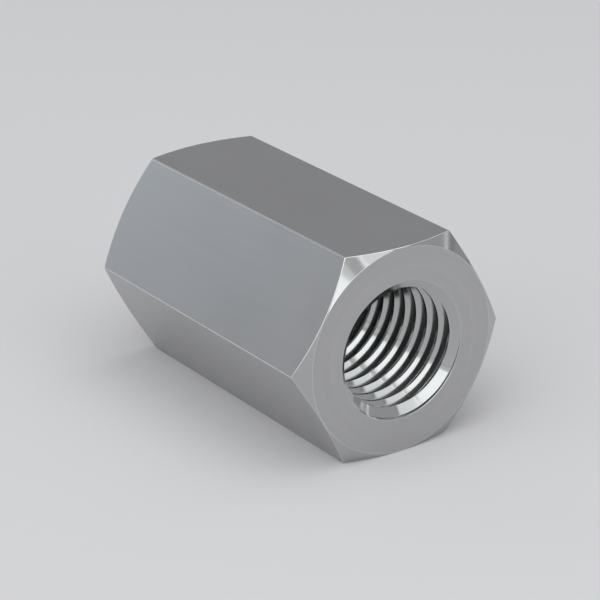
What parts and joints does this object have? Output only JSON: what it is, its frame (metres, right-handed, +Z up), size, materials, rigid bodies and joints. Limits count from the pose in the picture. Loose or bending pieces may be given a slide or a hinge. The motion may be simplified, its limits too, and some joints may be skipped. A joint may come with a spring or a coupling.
{
  "type": "coupling nut",
  "caption": "Long hexagonal steel coupling nut, chamfered and countersunk at both ends and tapped right through, that joins threaded rods end to end.",
  "frame": {"origin": "on the bore's axis, halfway along the nut", "axes": "+Y along the bore towards the back end, -Y towards the front end that the picture shows, +Z up from the flat that the nut lies on, X across two corners of the hexagon"},
  "size_m": [0.0276, 0.04, 0.024],
  "materials": {
    "bright_steel": "bright drawn and turned steel, satin flats with shiny chamfers and thread"
  },
  "bodies": {
    "root": {"coupling_nut": "bright_steel"}
  },
  "joints": []
}
